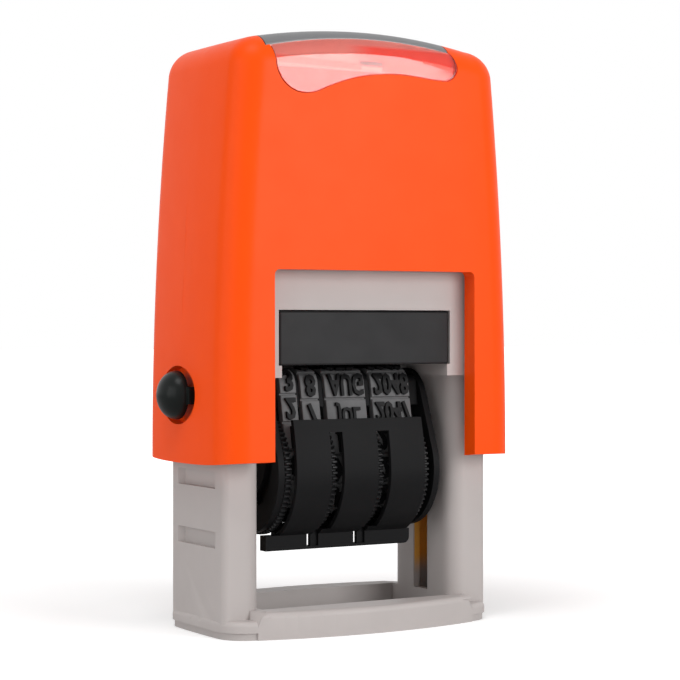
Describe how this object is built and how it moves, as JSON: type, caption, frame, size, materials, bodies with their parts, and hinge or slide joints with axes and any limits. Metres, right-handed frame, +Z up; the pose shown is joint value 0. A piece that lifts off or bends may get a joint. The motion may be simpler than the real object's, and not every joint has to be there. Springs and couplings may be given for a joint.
{
  "type": "self-inking date stamp",
  "caption": "Self-inking date stamp: a sprung cap slides over a two-legged frame and turns a unit of dating bands over from the ink pad to the paper.",
  "frame": {"origin": "middle of the base on the surface that the stamp stands on", "axes": "+Z up along the press direction, -Y towards the front that shows the guard and the bands, +X to the right of a person who faces that front"},
  "size_m": [0.0544, 0.0268, 0.085],
  "materials": {
    "frame_grey": "fine matt moulded plastic",
    "cap_orange": "satin moulded plastic",
    "pad_black": "satin moulded plastic",
    "ink_felt": "felt soaked in ink",
    "insert_grey": "satin moulded plastic",
    "lens_clear": "clear polished plastic",
    "button_black": "polished moulded plastic",
    "unit_black": "satin moulded plastic",
    "pin_steel": "bright drawn steel",
    "spring_steel": "bright spring wire",
    "band_rubber": "fine matt rubber",
    "wheel_grey": "satin moulded plastic"
  },
  "bodies": {
    "frame": {"base_frame": "frame_grey", "return_spring": "spring_steel"},
    "ink_pad": {"ink_pad_case": "pad_black", "ink_pad_felt": "ink_felt"},
    "cap": {"cap_shell": "cap_orange", "top_insert": "insert_grey", "clear_lens": "lens_clear", "inner_yoke": "cap_orange"},
    "left_button": {"left_lock_button": "button_black"},
    "right_button": {"right_lock_button": "button_black"},
    "date_unit": {"left_side_plate": "unit_black", "right_side_plate": "unit_black", "platen": "unit_black", "thumb_guard": "unit_black", "wheel_axle": "pin_steel", "pivot_pins": "pin_steel", "day_tens_band": "band_rubber", "day_units_band": "band_rubber", "month_band": "band_rubber", "year_band": "band_rubber"},
    "day_tens_wheel_body": {"day_tens_wheel": "wheel_grey"},
    "day_units_wheel_body": {"day_units_wheel": "wheel_grey"},
    "month_wheel_body": {"month_wheel": "wheel_grey"},
    "year_wheel_body": {"year_wheel": "wheel_grey"}
  },
  "joints": [
    {"name": "press", "type": "slide", "parent": "frame", "child": "cap", "axis": [0, 0, -1], "range_m": [0, 0.02], "stiffness_N_per_m": 400, "springref_m": -0.01, "deforming": ["return_spring"]},
    {"name": "flip", "type": "hinge", "parent": "cap", "child": "date_unit", "pos_m": [0, 0, 0.02885], "axis": [-1, 0, 0], "range_deg": [0, 180]},
    {"name": "pad_slide", "type": "slide", "parent": "frame", "child": "ink_pad", "axis": [0, 1, 0], "range_m": [-0.024, 0]},
    {"name": "left_lock", "type": "slide", "parent": "cap", "child": "left_button", "axis": [1, 0, 0], "range_m": [0, 0.0008], "stiffness_N_per_m": 500},
    {"name": "right_lock", "type": "slide", "parent": "cap", "child": "right_button", "axis": [-1, 0, 0], "range_m": [0, 0.0008], "stiffness_N_per_m": 500},
    {"name": "day_tens_turn", "type": "hinge", "parent": "date_unit", "child": "day_tens_wheel_body", "pos_m": [0, 0, 0.0224], "axis": [1, 0, 0], "continuous": true},
    {"name": "day_units_turn", "type": "hinge", "parent": "date_unit", "child": "day_units_wheel_body", "pos_m": [0, 0, 0.0224], "axis": [1, 0, 0], "continuous": true},
    {"name": "month_turn", "type": "hinge", "parent": "date_unit", "child": "month_wheel_body", "pos_m": [0, 0, 0.0224], "axis": [1, 0, 0], "continuous": true},
    {"name": "year_turn", "type": "hinge", "parent": "date_unit", "child": "year_wheel_body", "pos_m": [0, 0, 0.0224], "axis": [1, 0, 0], "continuous": true}
  ],
  "couplings": [
    {"joint": "flip", "follows": "press", "rad_per_m": 157.07}
  ]
}
